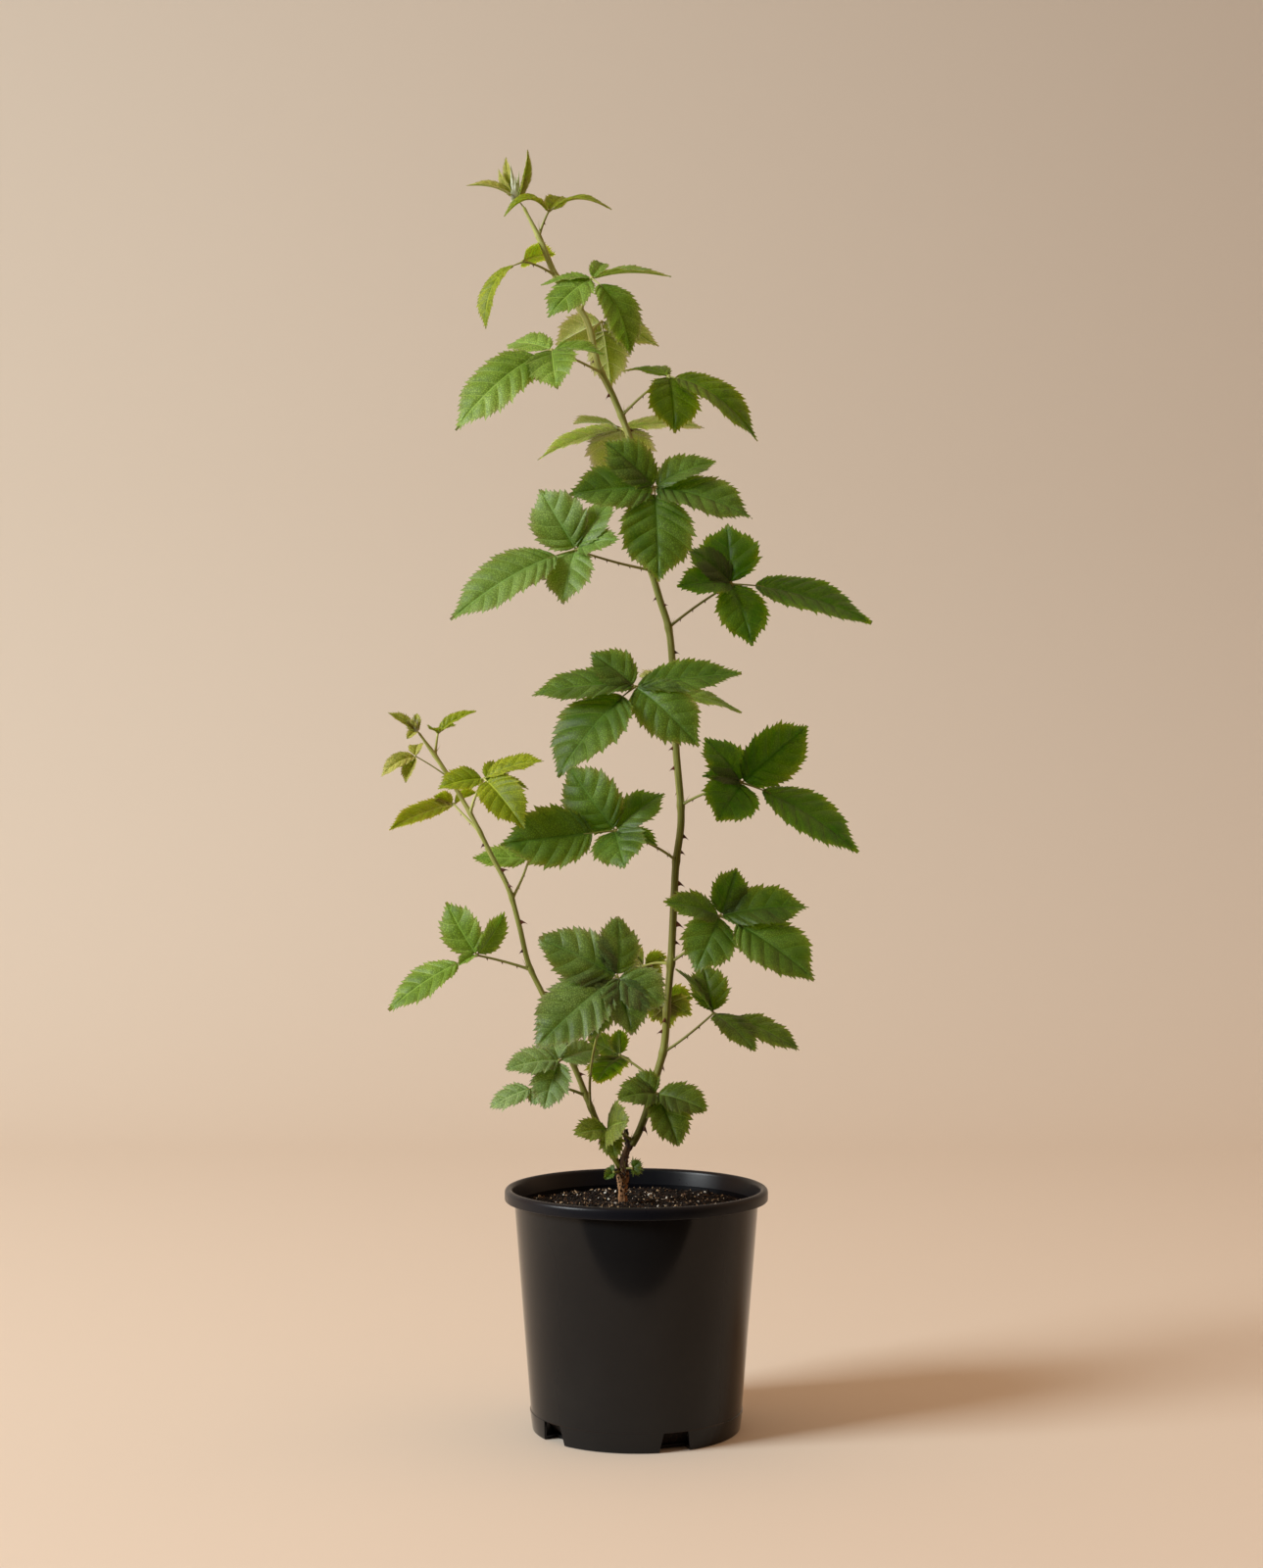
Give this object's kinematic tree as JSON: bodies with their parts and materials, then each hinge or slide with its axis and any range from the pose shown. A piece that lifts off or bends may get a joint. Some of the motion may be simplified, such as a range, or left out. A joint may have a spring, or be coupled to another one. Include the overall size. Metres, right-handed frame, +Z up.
{
  "type": "potted bramble",
  "caption": "Young bramble in a round plastic nursery pot: a tall cane and a shorter side cane rise from a woody stub, with toothed compound leaves and soft shoot tips.",
  "frame": {"origin": "centre of the pot's flat underside, at the mount stand", "axes": "+Z up the pot's axis and the plant's height, -Y towards the front view, +X to that view's right"},
  "size_m": [0.3715, 0.2261, 0.9858],
  "materials": {
    "pot": "satin black, lightly scuffed",
    "potting_mix": "loose dark crumbs with white grit",
    "bark": "rough brown bark",
    "cane": "smooth green stem with pale stripes",
    "leaf": "soft green leaf with sunk veins",
    "young_leaf": "pale yellow-green young leaf"
  },
  "bodies": {
    "root": {"pot": "pot", "potting_mix": "potting_mix", "woody_stub": "bark", "long_cane": "cane", "side_cane": "cane", "leaf_foot": "leaf", "leaf_long_01": "leaf", "leaf_long_02": "leaf", "leaf_long_03": "leaf", "leaf_long_04": "leaf", "leaf_long_05": "leaf", "leaf_long_06": "leaf", "leaf_long_07": "leaf", "leaf_long_08": "leaf", "leaf_long_09": "leaf", "leaf_long_10": "leaf", "leaf_long_11": "leaf", "leaf_long_12": "leaf", "leaf_long_13": "leaf", "leaf_long_14": "leaf", "leaf_long_15": "leaf", "leaf_long_16": "leaf", "leaf_long_17": "leaf", "leaf_long_18": "leaf", "leaf_long_19": "leaf", "leaf_long_20": "leaf", "leaf_side_01": "leaf", "leaf_side_02": "leaf", "leaf_side_03": "leaf", "leaf_side_04": "leaf", "leaf_side_05": "leaf", "leaf_side_06": "leaf", "leaf_side_07": "leaf", "leaf_side_08": "leaf", "leaf_side_09": "leaf", "shoot_tip_long": "young_leaf", "shoot_tip_side": "young_leaf", "shoot_foot_left": "young_leaf", "shoot_foot_right": "young_leaf"}
  },
  "joints": []
}
